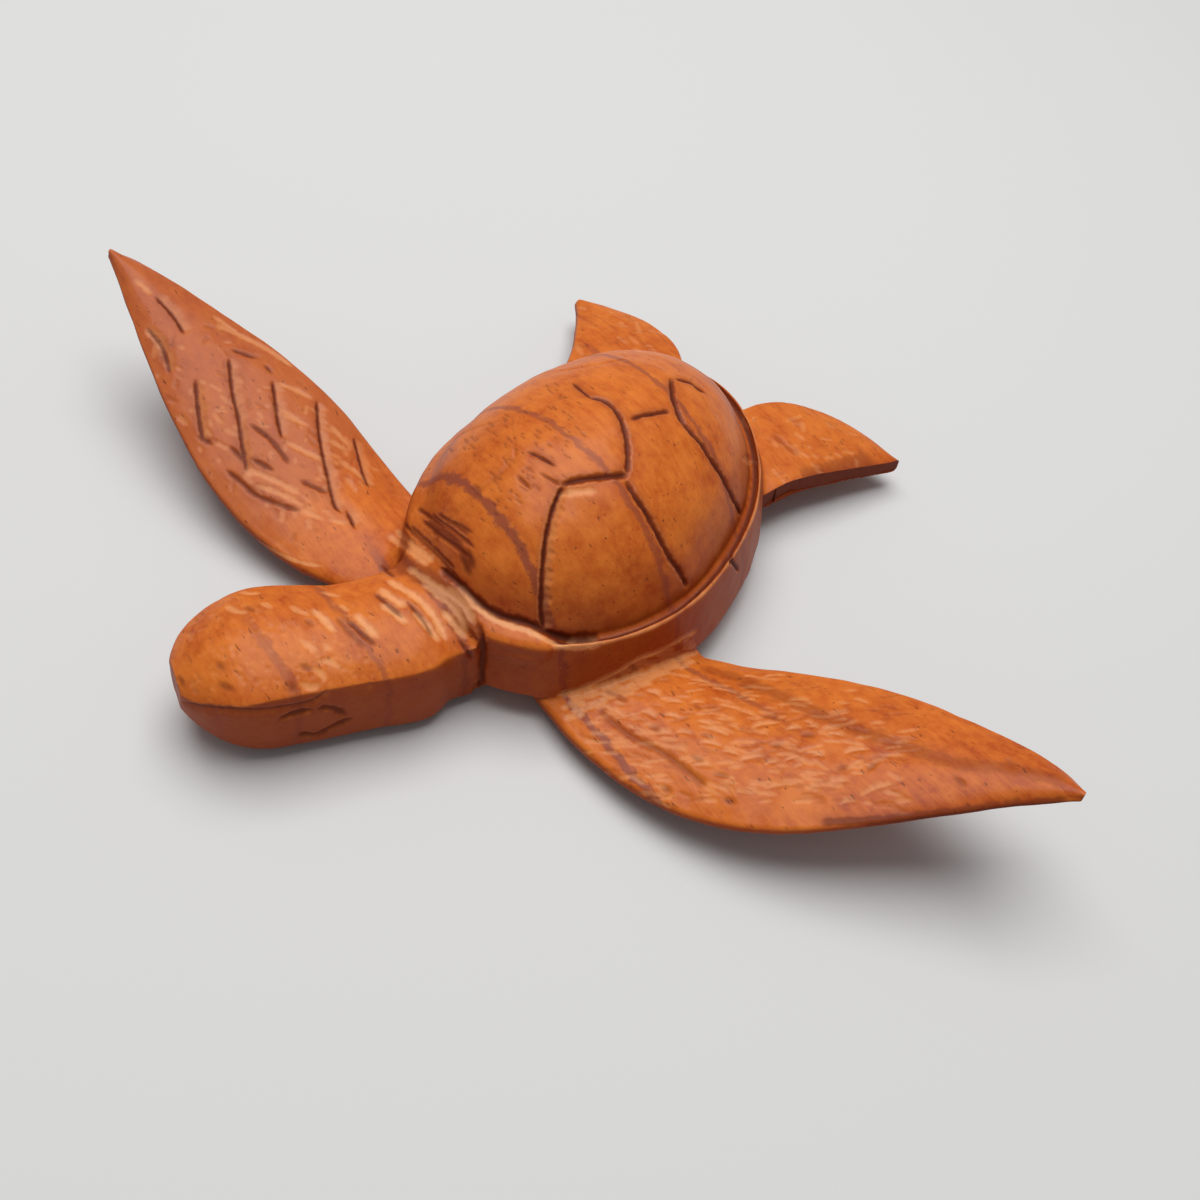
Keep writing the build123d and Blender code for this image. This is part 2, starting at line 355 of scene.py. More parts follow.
def outside_groove():
    """How far each point lies outside the middle of the rim groove, in plan."""
    along_shell = places[:, 1] - shell_middle_y
    reach = np.where(along_shell < 0, groove_front_reach, groove_rear_reach)
    egg = np.hypot(places[:, 0] / groove_half_width, along_shell / reach)
    slope = np.hypot(places[:, 0] / groove_half_width**2, along_shell / reach**2)
    return (egg - 1) / np.maximum(slope / np.maximum(egg, 0.1), 0.001)


def in_front(low, high):
    """1 for the front of the shell on the far side, where the rim is filled, 0 elsewhere."""
    return ramp((places - np.array(roll_ends)) @ np.array(roll_outward), low, high)


arris_offset = 1.15
sanding_rounds = round(220 * (finest_voxel / voxel) ** 2)
far_corner = (-25, -38, 10)
wedge_corner = (0.5, -47, 9)
roll_end = (13.2, -35.6, 17.6)

filled_rim = 1 - ramp(np.abs(outside_groove()), 1.5, 5)
filled_rim = filled_rim * in_front(-1, 2) * ramp(places[:, 2], 12, 15)
sand(filled_rim * (1 - ramp(places[:, 0], -9, -3)), sanding_rounds)
sand(filled_rim * (1 - ramp(outside_groove(), 0.5, 2.5)), sanding_rounds // 4)
sand(around(far_corner, 6, 13), sanding_rounds)
sand(around(wedge_corner, 4, 8), sanding_rounds // 3)
on_rim = 1 - ramp(np.abs(outside_groove() - arris_offset), 0.4, 1.0)
sand(on_rim * ramp(places[:, 2], 15.5, 16.5), sanding_rounds // 12)
sand(around(roll_end, 1.2, 4), sanding_rounds // 6)
print("sanded 6 times,", sanding_rounds, "rounds at most")

# %% [markdown]
# The front edge of the near rear flipper is an upright wall, dark in the photograph. Points
# of the blade that lie beyond its line are pushed straight back onto it.

# %% Rear edge
rear_edge_line = (
    (21.5, 21.0),
    (23.5, 26.8),
    (25.2, 31.9),
    (27.7, 36.7),
    (31.0, 42.0),
    (34.7, 48.3),
    (37.7, 53.4),
    (38.9, 56.0),
)
blade_top = 12.5
blade_root = 15

edge_x, edge_y = np.array(rear_edge_line).T
in_blade = ramp(outside_groove(), 2.0, 3.0) * ramp(places[:, 1], 20, 23)
in_blade = in_blade * (places[:, 2] < blade_top) * (places[:, 0] > blade_root)
pushed_back = np.maximum(places[:, 0] - np.interp(places[:, 1], edge_y, edge_x), 0) * in_blade
places[:, 0] -= pushed_back
rear_wall = ramp(pushed_back, 0.02, 0.3)
print("points pushed back to the rear edge:", int((pushed_back > 0.1).sum()))

# %% [markdown]
# Nothing on a hand-carved figure is quite even. The whole skin has low waves a few millimetres
# across. Waves in many directions, added up, make such a skin. They only go inwards, so the
# figure doesn't grow.

# %% Uneven skin
wave_sizes = ((11.0, 0.22), (4.5, 0.09))
wave_headings = 9


def waves(size, seed, spots):
    """Smooth waves of about one size, from 0 to 1, the same on every run."""
    dice = np.random.default_rng(seed)
    total = np.zeros(len(spots))
    for _ in range(wave_headings):
        heading = dice.normal(size=3)
        heading *= dice.uniform(0.7, 1.4) * 2 * pi / size / np.linalg.norm(heading)
        total += np.sin(spots @ heading + dice.uniform(0, 2 * pi))
    return np.clip(0.5 + total / wave_headings, 0, 1)


def renew_skin():
    """Write the places to the mesh and return its normals."""
    skin.vertices.foreach_set("co", (places * mm).astype(np.float32).ravel())
    skin.update()
    return read_points("normal")


normals = renew_skin()
clear_of_floor = ramp(places[:, 2], 0.4, 2.5)[:, None]
for seed, (size, depth) in enumerate(wave_sizes):
    places -= normals * depth * waves(size, seed, places)[:, None] * clear_of_floor
normals = renew_skin()
print("waves of", wave_sizes, "mm")

# %% [markdown]
# A cut is drawn as it is seen: a few pixels of the photograph, joined by a smooth line, and
# thrown through the camera onto the wood. That puts each cut where the real one is, and on
# the surface that carries it, from whatever side it is seen afterwards.

# %% From photograph to wood
pixel_step = 2.0
ridge_x = -1.8
wood_tree = BVHTree.FromObject(figure, bpy.context.evaluated_depsgraph_get())


def smooth_line(corners):
    """Points a pixel step apart on a smooth line through the corners."""
    corners = np.array(corners, dtype=float)
    padded = np.vstack([2 * corners[0] - corners[1], corners, 2 * corners[-1] - corners[-2]])
    line = []
    for before, start, end, after in zip(padded, padded[1:], padded[2:], padded[3:]):
        count = max(1, round(np.linalg.norm(end - start) / pixel_step))
        for share in np.arange(count) / count:
            line.append(
                start
                + share * (end - before) / 2
                + share**2 * (before - 2.5 * start + 2 * end - after / 2)
                + share**3 * (1.5 * (start - end) + (after - before) / 2)
            )
    return np.array(line + [corners[-1]])


def throw(corners):
    """Places and normals on the wood, in mm, along a smooth line of pixels."""
    found = []
    for x, y in smooth_line(corners):
        ray = Vector((x - photo_size / 2, photo_size / 2 - y, -focal_pixels)).normalized()
        place, normal, _, _ = wood_tree.ray_cast(camera.location, camera_turn @ ray)
        if place:
            found.append((*(place / mm), *normal))
    found = np.array(found).reshape(-1, 6)
    facing = found[:, 3:].copy()
    for _ in range(4):
        facing[1:-1] = (facing[:-2] + facing[1:-1] + facing[2:]) / 3
    return found[:, :3], facing / np.linalg.norm(facing, axis=1)[:, None]


def over_the_ridge(path):
    """The same line on the dome's other side, mirrored about the ridge."""
    found = []
    for x, y, z in path:
        place, normal, _, _ = wood_tree.find_nearest(Vector((2 * ridge_x - x, y, z)) * mm)
        found.append((*(place / mm), *normal))
    found = np.array(found)
    return found[:, :3], found[:, 3:]


print("a line takes a step every", pixel_step, "pixels")

# %% [markdown]
# A cut touches only the few points near its line. To find them without trying half a million,
# the points are sorted once into small cubes, as tools into drawers.

# %% Drawers of points
drawer = 1.0
drawers_across = 1024


def drawer_of(spots):
    """One whole number for the little cube that each place lies in."""
    cubes = np.floor(spots / drawer).astype(np.int64) + drawers_across // 2
    return (cubes[..., 0] * drawers_across + cubes[..., 1]) * drawers_across + cubes[..., 2]


in_order = np.argsort(drawer_of(places), kind="stable")
drawers = drawer_of(places)[in_order]


def points_near(path, reach):
    """The points of the skin in the drawers within reach of a path."""
    shifts = np.arange(-ceil(reach / drawer), ceil(reach / drawer) + 1) * drawer
    shifts = np.stack(np.meshgrid(shifts, shifts, shifts), axis=-1).reshape(-1, 3)
    wanted = np.unique(drawer_of(path[:, None] + shifts))
    first = np.searchsorted(drawers, wanted, "left")
    last = np.searchsorted(drawers, wanted, "right")
    return np.concatenate([in_order[a:b] for a, b in zip(first, last)])


print(len(np.unique(drawers)), "drawers of", drawer, "mm")

# %% [markdown]
# Each tool leaves its own section: a knife a V, a gouge a round hollow, a chisel held askew a
# steep wall on one side and a broad facet on the other. A scoop is a gouge whose hollow is painted
# pale as a highlight, a dab a dent with stain in it, and a tint is a dark band with no cut, used
# both for stain and for painted shade. A tool is a function of the place across the cut, from -1
# to 1, and gives depth, darkening and paleness. The darkening is partly stain and, in the walls
# and bottoms of cuts, partly painted shade; the paleness is a painted highlight on facets and
# edges. Each point of the skin keeps the most that any cut gives it, so crossing cuts don't deepen
# each other. A cut marks only points that face its way and lie close under it, not what is behind
# them.

# %% Tools
least_facing = 0.25
most_lift = 2.5
cut_depth = np.zeros(point_count)
stain = np.zeros(point_count)
painted_highlight = np.zeros(point_count)


def knife(share):
    away = np.abs(share)
    edge = np.clip(1 - np.abs(away - 1.1) / 0.35, 0, 1)
    return np.clip(1 - away, 0, 1), np.clip(1.35 - away / 0.65, 0, 1), 0.15 * edge


def chisel(share):
    wall = np.clip(1 + share / 0.28, 0, 1)
    floor = np.clip(1 - share, 0, 1)
    dark = np.clip(1.5 - np.abs(share + 0.03) / 0.2, 0, 1)
    facet = np.clip((share - 0.15) / 0.2, 0, 1) * np.clip(1.15 - share, 0, 1)
    return np.where(share < 0, wall, floor), dark, facet


def gouge(share):
    hollow = np.clip(1 - share**2, 0, 1)
    return hollow, 0.5 * hollow, 0.25 * np.clip(1 - np.abs(np.abs(share) - 1.1) / 0.35, 0, 1)


def scoop(share):
    hollow = np.clip(1 - share**2, 0, 1)
    return hollow, 0 * share, np.clip(1.15 * hollow, 0, 1)


def dab(share):
    hollow = np.clip(1 - share**2, 0, 1)
    return 0.4 * hollow, hollow, 0 * share


def tint(share):
    return 0 * share, np.clip(1.5 * (1 - share**2), 0, 1), 0 * share


def carve(path, facing, tool, width, depth, dark=1.0, light=1.0, taper=1.6):
    """Draw a tool along a path. A chisel's broad facet lies on the right of its travel."""
    if len(path) < 2:
        return
    along = np.gradient(path, axis=0)
    along /= np.linalg.norm(along, axis=1)[:, None] + 1e-9
    across = np.cross(along, facing)
    across /= np.linalg.norm(across, axis=1)[:, None] + 1e-9
    travelled = np.append(0, np.cumsum(np.linalg.norm(np.diff(path, axis=0), axis=1)))
    near = points_near(path, width * 0.8)
    if not len(near):
        return
    gaps = places[near][:, None] - path
    closest = (gaps**2).sum(axis=2).argmin(axis=1)
    away = places[near] - path[closest]
    run = travelled[closest] + (away * along[closest]).sum(axis=1)
    side = (away * across[closest]).sum(axis=1)
    lift = (away * facing[closest]).sum(axis=1)
    meets = (normals[near] * facing[closest]).sum(axis=1) > least_facing
    meets = meets & (np.abs(lift) < most_lift)
    end = np.clip(np.minimum(run, travelled[-1] - run) / taper + 0.1, 0, 1)
    end = end * (2 - end)
    unsteady = 1 + 0.13 * np.sin(run * 1.7 + path[0, 0] * 3)
    unsteady += 0.08 * np.sin(run * 4.1 + path[0, 1])
    section, darkened, lightened = tool(side / (width / 2 * (0.45 + 0.55 * end) * unsteady))
    cut_depth[near] = np.maximum(cut_depth[near], depth * section * end * meets)
    # The darkening is stain and painted shade; the paleness is a painted highlight.
    stain[near] = np.maximum(stain[near], dark * darkened * end * meets)
    painted_highlight[near] = np.maximum(painted_highlight[near], light * lightened * end * meets)


def carve_all(tool, width, depth, lines, **mix):
    """Draw one tool along several lines of pixels."""
    for line in lines:
        carve(*throw(line), tool, width, depth, **mix)


def chop(x, y, length, heading, tools, first_share, widths, depths, **mix):
    """A short mark from a pixel, with the first of two tools in a share of the cases."""
    tool = tools[0] if dice.random() < first_share else tools[1]
    line = ((x, y), (x + length * cos(heading), y + length * sin(heading)))
    carve(*throw(line), tool, dice.uniform(*widths), dice.uniform(*depths), **mix)


print("tools: knife, chisel, gouge, scoop, dab, tint")

# %% [markdown]
# The scutes are not a regular pattern. The front rib is a broad cut whose pale facet is a painted
# highlight; the lines behind it are thinner, and all of them fade on the far side, where they are
# cut again as mirror images and more lightly.

# %% Scutes
front_rib = (
    (545, 634), (543, 614), (544, 599), (545, 579), (546, 564), (548, 544),
    (552, 524), (558, 504), (566, 487),
)
front_bar = ((564, 487), (574, 483), (591, 480), (611, 478), (632, 476))
second_rib = ((629, 483), (639, 499), (649, 514), (661, 536), (673, 559), (683, 574), (689, 588))
middle_arc = (
    (630, 476), (631, 462), (630, 444), (627, 430), (622, 417), (614, 407), (604, 401), (592, 399)
)
second_bar = ((634, 421), (644, 417), (656, 415), (673, 412))
third_rib = (
    (675, 380), (676, 397), (680, 410), (685, 422), (693, 432), (706, 447),
    (713, 459), (723, 474), (731, 489), (738, 504), (743, 516),
)
rear_bar = ((679, 381), (685, 382), (695, 385), (703, 391), (710, 395))
hair_cuts = (((594, 400), (584, 392), (575, 384)), ((530, 453), (543, 459), (559, 468)))
short_cuts = (((542, 474), (552, 480), (566, 488)), ((519, 477), (527, 484), (534, 492)))

scute_cuts = (
    (front_rib, chisel, 3.4, 0.85),
    (front_bar, knife, 1.8, 0.65),
    (second_rib, knife, 1.5, 0.55),
    (middle_arc, knife, 1.4, 0.5),
    (second_bar, knife, 1.4, 0.45),
    (third_rib, knife, 1.7, 0.6),
    (rear_bar, knife, 1.4, 0.4),
)
# The pale facets of these cuts are painted highlights, and their dark walls partly painted shade.
for line, tool, width, depth in scute_cuts:
    path, facing = throw(line)
    carve(path, facing, tool, width, depth, light=0.55)
    carve(*over_the_ridge(path), knife, width * 0.5, depth * 0.25, dark=0.08, light=0.0)
carve_all(knife, 0.9, 0.25, hair_cuts)
carve_all(knife, 0.9, 0.3, short_cuts, dark=0.6)
print("scute cuts:", 2 * len(scute_cuts))

# %% [markdown]
# Behind the neck the knife has left a fan of long strokes on the front of the dome, and one
# deep nick in the flank beside the near flipper.

# %% Strokes on the shell
shell_knife = (
    ((411, 527), (434, 548), (457, 571)),
    ((424, 522), (448, 541), (472, 561)),
    ((434, 517), (456, 532), (477, 550)),
    ((447, 520), (461, 527), (475, 535)),
    ((418, 509), (432, 519), (447, 530)),
    ((440, 516), (455, 525), (472, 537)),
    ((433, 532), (448, 541), (467, 553)),
    ((402, 523), (422, 541), (440, 558), (460, 580)),
    ((451, 541), (463, 552), (474, 560)),
)
shell_dabs = (((464, 549), (467, 562), (473, 578)), ((469, 551), (473, 562), (476, 572)))
flank_nick = ((727, 554), (733, 562), (739, 571))
fan_shade = ((430, 520), (447, 533), (466, 548))
shell_facets = (
    ((388, 536), (408, 548), (430, 566)),
    ((396, 530), (417, 549), (436, 562)),
    ((560, 497), (575, 494), (600, 492)),
    ((447, 588), (462, 598), (476, 612)),
)
# The pale edges of the strokes and the pale facets here are painted highlights.
carve_all(knife, 1.1, 0.3, shell_knife, dark=0.6, light=0.5)
carve_all(dab, 2.0, 0.3, shell_dabs, dark=0.7)
carve_all(scoop, 1.8, 0.2, shell_facets, light=0.7)
carve_all(knife, 1.3, 0.5, [flank_nick])
carve_all(dab, 2.2, 0.2, [fan_shade], dark=0.5)

dice = np.random.default_rng(5)
shell_chops = 90
shell_field = np.array((445, 455))
shell_field_over = np.array((110, -75))
shell_field_down = np.array((40, 75))
for _ in range(shell_chops):
    down, over = dice.uniform(0, 1, 2)
    x, y = shell_field + shell_field_over * over + shell_field_down * down
    length = dice.uniform(4, 10)
    line = ((x, y), (x + length * 0.75, y + length * 0.65))
    carve(*throw(line), knife, dice.uniform(0.5, 0.9), 0.1, dark=0.35, light=0.5, taper=0.6)
print("strokes on the shell:", len(shell_knife) + len(shell_facets) + shell_chops)

# %% [markdown]
# The rim groove came with the CAD body. On the near side only its colour is added: dark in the
# groove, partly stain and partly painted shade, and a painted highlight in patches along the
# narrow arris outside it. At the front the knife runs along the groove once more, as the
# photograph shows.

# %% Rim groove
front_groove = (
    (442, 569), (462, 586), (484, 606), (504, 617), (529, 624), (554, 635), (574, 640), (600, 638)
)
front_arris = ((463, 592), (480, 609), (502, 623), (530, 632), (556, 644), (576, 648), (602, 645))

outside = outside_groove()
at_rim = ramp(places[:, 2], 15.8, 16.3) * (1 - ramp(places[:, 2], 18.6, 19.4))
at_rim = at_rim * (1 - in_front(-2, 0))
arris_highlight_waves = waves(3.5, 21, places)
in_groove = np.clip(1.25 - np.abs(outside) / 0.6, 0, 1)
in_groove = in_groove * (1 - ramp(places[:, 2], 17.6, 18.1))
on_arris = np.clip(1.2 - np.abs(outside - arris_offset) / 0.45, 0, 1)
on_arris = on_arris * ramp(places[:, 2], 16.9, 17.4)
# Dark in the groove: stain and painted shade. Pale on the arris: a painted highlight, patchy in
# waves.
stain = np.maximum(stain, at_rim * in_groove)
painted_highlight = np.maximum(painted_highlight, at_rim * on_arris * (0.45 + 0.5 * arris_highlight_waves))
carve_all(knife, 1.9, 0.7, [front_groove], light=0.0)
carve_all(scoop, 1.5, 0.08, [front_arris], light=1.0)
print("points in the rim groove:", int((at_rim * in_groove > 0.5).sum()))

# %% [markdown]
# The head has a broad flat crown that breaks off at a crisp brow line, with the eye under it.
# A wide chisel run along the brow makes that edge, and knife cuts go round the eye.
# Small dimples cover the crown.

# %% Head
brow_line = ((327, 691), (312, 701), (290, 706), (258, 710), (225, 709), (198, 706), (182, 702))
eye_cuts = (
    ((279, 720), (294, 714), (313, 710)),
    ((317, 709), (333, 709), (346, 716)),
    ((298, 734), (316, 735), (329, 729), (344, 722), (353, 718)),
)
crown_facets = (
    ((318, 662), (330, 662), (342, 668)),
    ((300, 683), (312, 688), (322, 684)),
    ((312, 668), (322, 674), (326, 682)),
    ((340, 605), (346, 609), (351, 613)),
    ((262, 603), (268, 606), (274, 610)),
    ((226, 606), (238, 612), (250, 614)),
    ((240, 592), (252, 594), (262, 594)),
    ((292, 606), (300, 612), (312, 616)),
    ((322, 592), (332, 595), (342, 597)),
    ((322, 644), (328, 648), (334, 650)),
    ((300, 640), (312, 648), (320, 654)),
)
crown_dabs = (
    ((300, 664), (307, 668), (315, 671)),
    ((288, 683), (293, 687), (299, 692)),
    ((306, 620), (311, 624), (315, 628)),
    ((216, 662), (222, 667), (227, 672)),
    ((218, 683), (228, 688), (236, 692)),
    ((176, 676), (181, 681), (184, 688)),
    ((246, 607), (252, 610), (258, 614)),
    ((348, 620), (362, 633), (376, 646)),
    ((338, 618), (352, 634), (366, 650)),
)
# The dark along the brow is partly painted shade; the pale crown facets and dimple edges are
# painted highlights.
carve(*throw(brow_line[::-1]), chisel, 3.4, 0.5, dark=0.6, light=0.0, taper=4.0)
carve_all(knife, 2.0, 0.6, eye_cuts, dark=0.65, light=0.1)
carve_all(scoop, 1.4, 0.14, crown_facets, light=0.6)
carve_all(dab, 1.4, 0.3, crown_dabs, dark=0.45)

dice = np.random.default_rng(11)
crown_dimples = 260
crown_left, crown_right = 186, 372
crown_top, crown_bottom = 594, 692
crown_mix = {"dark": 0.3, "light": 0.25}
for _ in range(crown_dimples):
    x, y = dice.uniform(crown_left, crown_right), dice.uniform(crown_top, crown_bottom)
    length, heading = dice.uniform(3, 8), dice.uniform(0.3, 1.2)
    chop(x, y, length, heading, (gouge, scoop), 0.45, (0.8, 1.7), (0.06, 0.16), **crown_mix)
print("dimples on the crown:", crown_dimples)

# %% [markdown]
# The neck is faceted by long strokes of a wide gouge that run down towards the near flipper.
# They catch the light, which is painted on them as a pale highlight, and the last of them ends at
# the seam where the neck meets the body. The fold between the neck and the shell has painted shade
# in it.

# %% Neck
neck_facets = (
    ((382, 604), (396, 614), (409, 625)),
    ((409, 568), (436, 586), (463, 604), (476, 624)),
    ((424, 583), (442, 597), (457, 610), (468, 632)),
    ((313, 610), (326, 621), (337, 634)),
    ((388, 580), (405, 590), (422, 602), (436, 619), (446, 640)),
    ((414, 612), (428, 626), (440, 642)),
    ((380, 589), (394, 599), (408, 608)),
    ((442, 610), (453, 622), (466, 638)),
    ((356, 615), (367, 626), (380, 639)),
    ((460, 586), (469, 597), (480, 611)),
)
neck_knife = (
    ((349, 622), (363, 634), (378, 647)),
    ((459, 640), (465, 648), (473, 659)),
    ((380, 566), (388, 572), (396, 578)),
    ((376, 594), (390, 606), (404, 618)),
    ((408, 602), (424, 620), (434, 638)),
)
shell_fold = ((398, 562), (424, 576), (446, 592), (462, 612), (472, 636))
neck_seam = ((478, 622), (482, 636), (483, 652), (482, 668), (481, 684), (481, 694))
# Painted highlights on the facets.
carve_all(scoop, 1.8, 0.28, neck_facets, light=0.9)
carve_all(knife, 1.2, 0.3, neck_knife, dark=0.7, light=0.4)
carve_all(knife, 1.6, 0.5, [neck_seam], dark=0.8, light=0.0)
# Painted shade in the fold between neck and shell.
carve_all(tint, 4.5, 0, [shell_fold], dark=0.38)
print("facets on the neck:", len(neck_facets))

# %% [markdown]
# The top of the near flipper is chopped all over with short marks that lie roughly along its
# length, their pale facets painted highlights, and a groove parts that field from the smooth
# leading edge. At its root the chisel has left a rough seam against the shell, painted pale, a
# painted highlight laid over the body's shade. A strip of painted shade runs along the lower edge.
# The marks that stand out are drawn one by one, each as a pixel and a run of pixels, and the dice
# throw the rest.

# %% Near flipper
near_marks = (
    (788, 702, 22, 0), (745, 701, 10, 1), (712, 689, 26, 6), (665, 703, 18, 1),
    (690, 704, 14, 0), (697, 722, 16, 6), (702, 728, 26, 9), (726, 726, 12, 5),
    (752, 729, 28, -5), (757, 735, 10, 2), (785, 731, 17, -1), (803, 722, 10, 5),
    (655, 735, 18, 1), (676, 733, 16, 3), (673, 747, 14, 9), (740, 762, 26, -4),
    (765, 766, 14, -2), (785, 762, 16, -4), (805, 754, 16, 2), (693, 767, 20, 1),
    (720, 783, 12, 12), (735, 794, 14, 2), (745, 788, 14, 9), (765, 790, 34, -4),
    (808, 790, 15, -1), (614, 688, 16, 8), (596, 695, 12, 5), (600, 706, 26, 14),
    (646, 692, 14, 6), (664, 656, 26, 8), (668, 672, 10, -3), (806, 727, 13, 3),
    (822, 730, 14, 1), (826, 735, 20, 3), (845, 755, 26, -4), (796, 760, 8, 4),
    (812, 757, 14, 1), (829, 786, 22, -3), (840, 806, 19, -2), (862, 798, 34, -12),
    (742, 677, 18, 2), (762, 678, 26, -2), (690, 681, 20, 3), (718, 706, 24, 6),
    (738, 712, 18, 6), (700, 743, 22, 5), (722, 752, 16, 5), (640, 712, 16, 8),
    (664, 716, 18, 4), (852, 700, 16, 5),
)
near_darks = (
    (604, 690, 24, 12), (692, 704, 8, 6), (700, 734, 12, 5), (736, 684, 18, 6),
    (868, 772, 12, -9), (660, 787, 12, 6), (722, 799, 14, 5), (800, 735, 16, 2),
    (770, 745, 14, 3), (836, 770, 14, -2), (628, 665, 10, 8), (808, 712, 22, 9),
    (846, 728, 26, 8), (1010, 760, 8, 12), (880, 742, 24, 5), (955, 778, 14, 12),
    (760, 716, 20, 4), (712, 774, 18, 4), (690, 756, 14, 7), (648, 726, 14, 6),
)
border_groove = (
    (598, 708), (612, 722), (634, 738), (656, 749), (676, 762), (692, 775), (706, 787)
)
root_seam = (
    (556, 695), (578, 689), (600, 680), (620, 670), (640, 658), (662, 650), (682, 638), (698, 630)
)
long_band = (
    (700, 668), (745, 680), (790, 700), (850, 727),
    (900, 745), (960, 765), (1010, 770), (1072, 784),
)
lower_edge_shade = ((820, 822), (880, 820), (950, 814), (1020, 808), (1072, 802))


def flipper_marks(marks, tool, width, depth, **mix):
    """Short marks, each from a pixel over a run of pixels, drawn from right to left."""
    for x, y, run_x, run_y in marks:
        line = ((x + run_x, y + run_y), (x + run_x / 2, y + run_y / 2 - 1), (x, y))
        wide = width * dice.uniform(0.8, 1.2)
        carve(*throw(line), tool, wide, depth, taper=1.4, **mix)


# The pale facets of these marks are painted highlights.
flipper_marks(near_marks, chisel, 2.4, 0.14, dark=0.15, light=0.8)
flipper_marks(near_darks, dab, 1.4, 0.4, dark=0.4)
carve_all(tint, 3.0, 0, [long_band], dark=0.26)
# Painted shade along the flipper's lower edge.
carve_all(tint, 1.6, 0, [lower_edge_shade], dark=0.6)
carve_all(knife, 2.2, 0.3, [border_groove], dark=0.4, light=0.5)
# A painted highlight along the root seam and in the scoops round it, over the body's shade.
carve_all(scoop, 1.5, 0.25, [root_seam], light=0.9)

root_chops = 120
root_field = np.array((562, 697))
root_field_out = np.array((125, -58))
root_field_down = np.array((0, 26))
for _ in range(root_chops):
    out, down = dice.uniform(0, 1, 2)
    x, y = root_field + root_field_out * out + root_field_down * down
    line = ((x, y), (x + dice.uniform(6, 15), y + dice.uniform(-6, 0)))
    carve(*throw(line), scoop, dice.uniform(1.0, 1.8), 0.12, light=0.65, taper=0.7)

near_chops = 260
near_left, near_right = 575, 900
near_top, near_bottom = 668, 800
near_tilt = 0.04
near_mix = {"dark": 0.3, "light": 0.4, "taper": 1.2}
for _ in range(near_chops):
    x = dice.uniform(near_left, near_right)
    y = dice.uniform(near_top, near_bottom) + near_tilt * (x - near_left)
    heading = dice.normal(0.06, 0.18)
    length = dice.uniform(12, 28)
    chop(x, y, length, heading, (scoop, gouge), 0.6, (0.7, 1.2), (0.05, 0.12), **near_mix)
print("marks on the near flipper:", len(near_marks) + len(near_darks) + near_chops)

# %% [markdown]
# The far flipper carries a herringbone instead: chisel cuts across the blade, each with its
# pale facet, a painted highlight, towards the root, and a few cuts along it near the leading
# edge. Pale scoops add more painted highlights.

# %% Far flipper
across_cuts = (
    ((186, 335), (180, 324), (172, 313), (158, 298)),
    ((171, 374), (167, 358), (162, 345), (149, 329)),
    ((203, 442), (200, 425), (198, 408), (196, 380)),
    ((247, 472), (242, 445), (238, 415), (233, 392), (230, 359)),
    ((282, 438), (278, 420), (276, 404), (273, 381)),
    ((341, 513), (334, 503), (328, 477), (323, 455), (319, 430), (317, 401)),
    ((369, 487), (363, 472), (358, 453), (354, 438)),
    ((355, 529), (351, 519), (346, 510)),
)
lengthwise_cuts = (
    ((226, 470), (242, 483), (256, 495), (278, 504), (300, 511)),
    ((250, 424), (268, 437), (281, 452), (289, 464)),
    ((229, 446), (240, 456), (247, 463)),
    ((250, 458), (262, 464), (274, 471)),
    ((300, 480), (312, 486), (328, 493)),
    ((232, 350), (244, 354), (258, 359)),
    ((197, 436), (205, 440), (213, 445)),
    ((265, 365), (269, 369), (273, 374)),
)
far_facets = (
    ((246, 468), (276, 481), (301, 494)),
    ((217, 325), (243, 337), (268, 350), (293, 367)),
    ((276, 383), (296, 390), (312, 399)),
    ((280, 409), (290, 415), (301, 422)),
    ((327, 439), (338, 445), (348, 451)),
    ((301, 451), (314, 456), (326, 461)),
    ((147, 330), (157, 340), (165, 352)),
    ((203, 425), (207, 432), (212, 437)),
    ((256, 485), (272, 490), (288, 497), (304, 506)),
    ((282, 414), (294, 419), (308, 426)),
    ((284, 441), (300, 449), (318, 457)),
    ((328, 424), (338, 434), (350, 446)),
    ((338, 459), (352, 469), (368, 481)),
    ((328, 519), (338, 522), (348, 524)),
    ((246, 464), (248, 471), (252, 478)),
    ((300, 508), (312, 514), (324, 520)),
    ((137, 280), (146, 288), (154, 296)),
    ((214, 316), (226, 325), (240, 336)),
)
leading_rim = ((196, 468), (212, 494), (230, 516), (252, 536), (276, 552), (300, 562), (322, 566))
# Pale facets and scoops here are painted highlights; the dark walls are partly painted shade.
carve_all(chisel, 3.4, 0.42, across_cuts, dark=0.85, light=0.5)
carve_all(knife, 1.5, 0.28, lengthwise_cuts, dark=0.7, light=0.5)
carve_all(scoop, 1.5, 0.16, far_facets, light=0.5)
far_chops = 150
far_field = np.array((165, 330))
far_field_along = np.array((185, 180))
far_field_over = np.array((55, -30))
chop_mix = {"dark": 0.3, "light": 0.3, "taper": 0.8}
for _ in range(far_chops):
    along, over = dice.uniform(0, 1), dice.uniform(-1, 1)
    x, y = far_field + far_field_along * along + far_field_over * over
    heading = dice.normal(0.55, 0.3) + (1.0 if dice.random() < 0.35 else 0.0)
    length = dice.uniform(6, 16)
    chop(x, y, length, heading, (scoop, gouge), 0.55, (0.8, 1.5), (0.05, 0.14), **chop_mix)
carve_all(scoop, 0.9, 0.05, [leading_rim], light=0.7)
print("cuts on the far flipper:", len(across_cuts) + len(lengthwise_cuts))

# %% [markdown]
# The rear flippers are almost plain. Faint gouge marks cover both, and the near one has a
# strip of painted shade beside its upright edge.

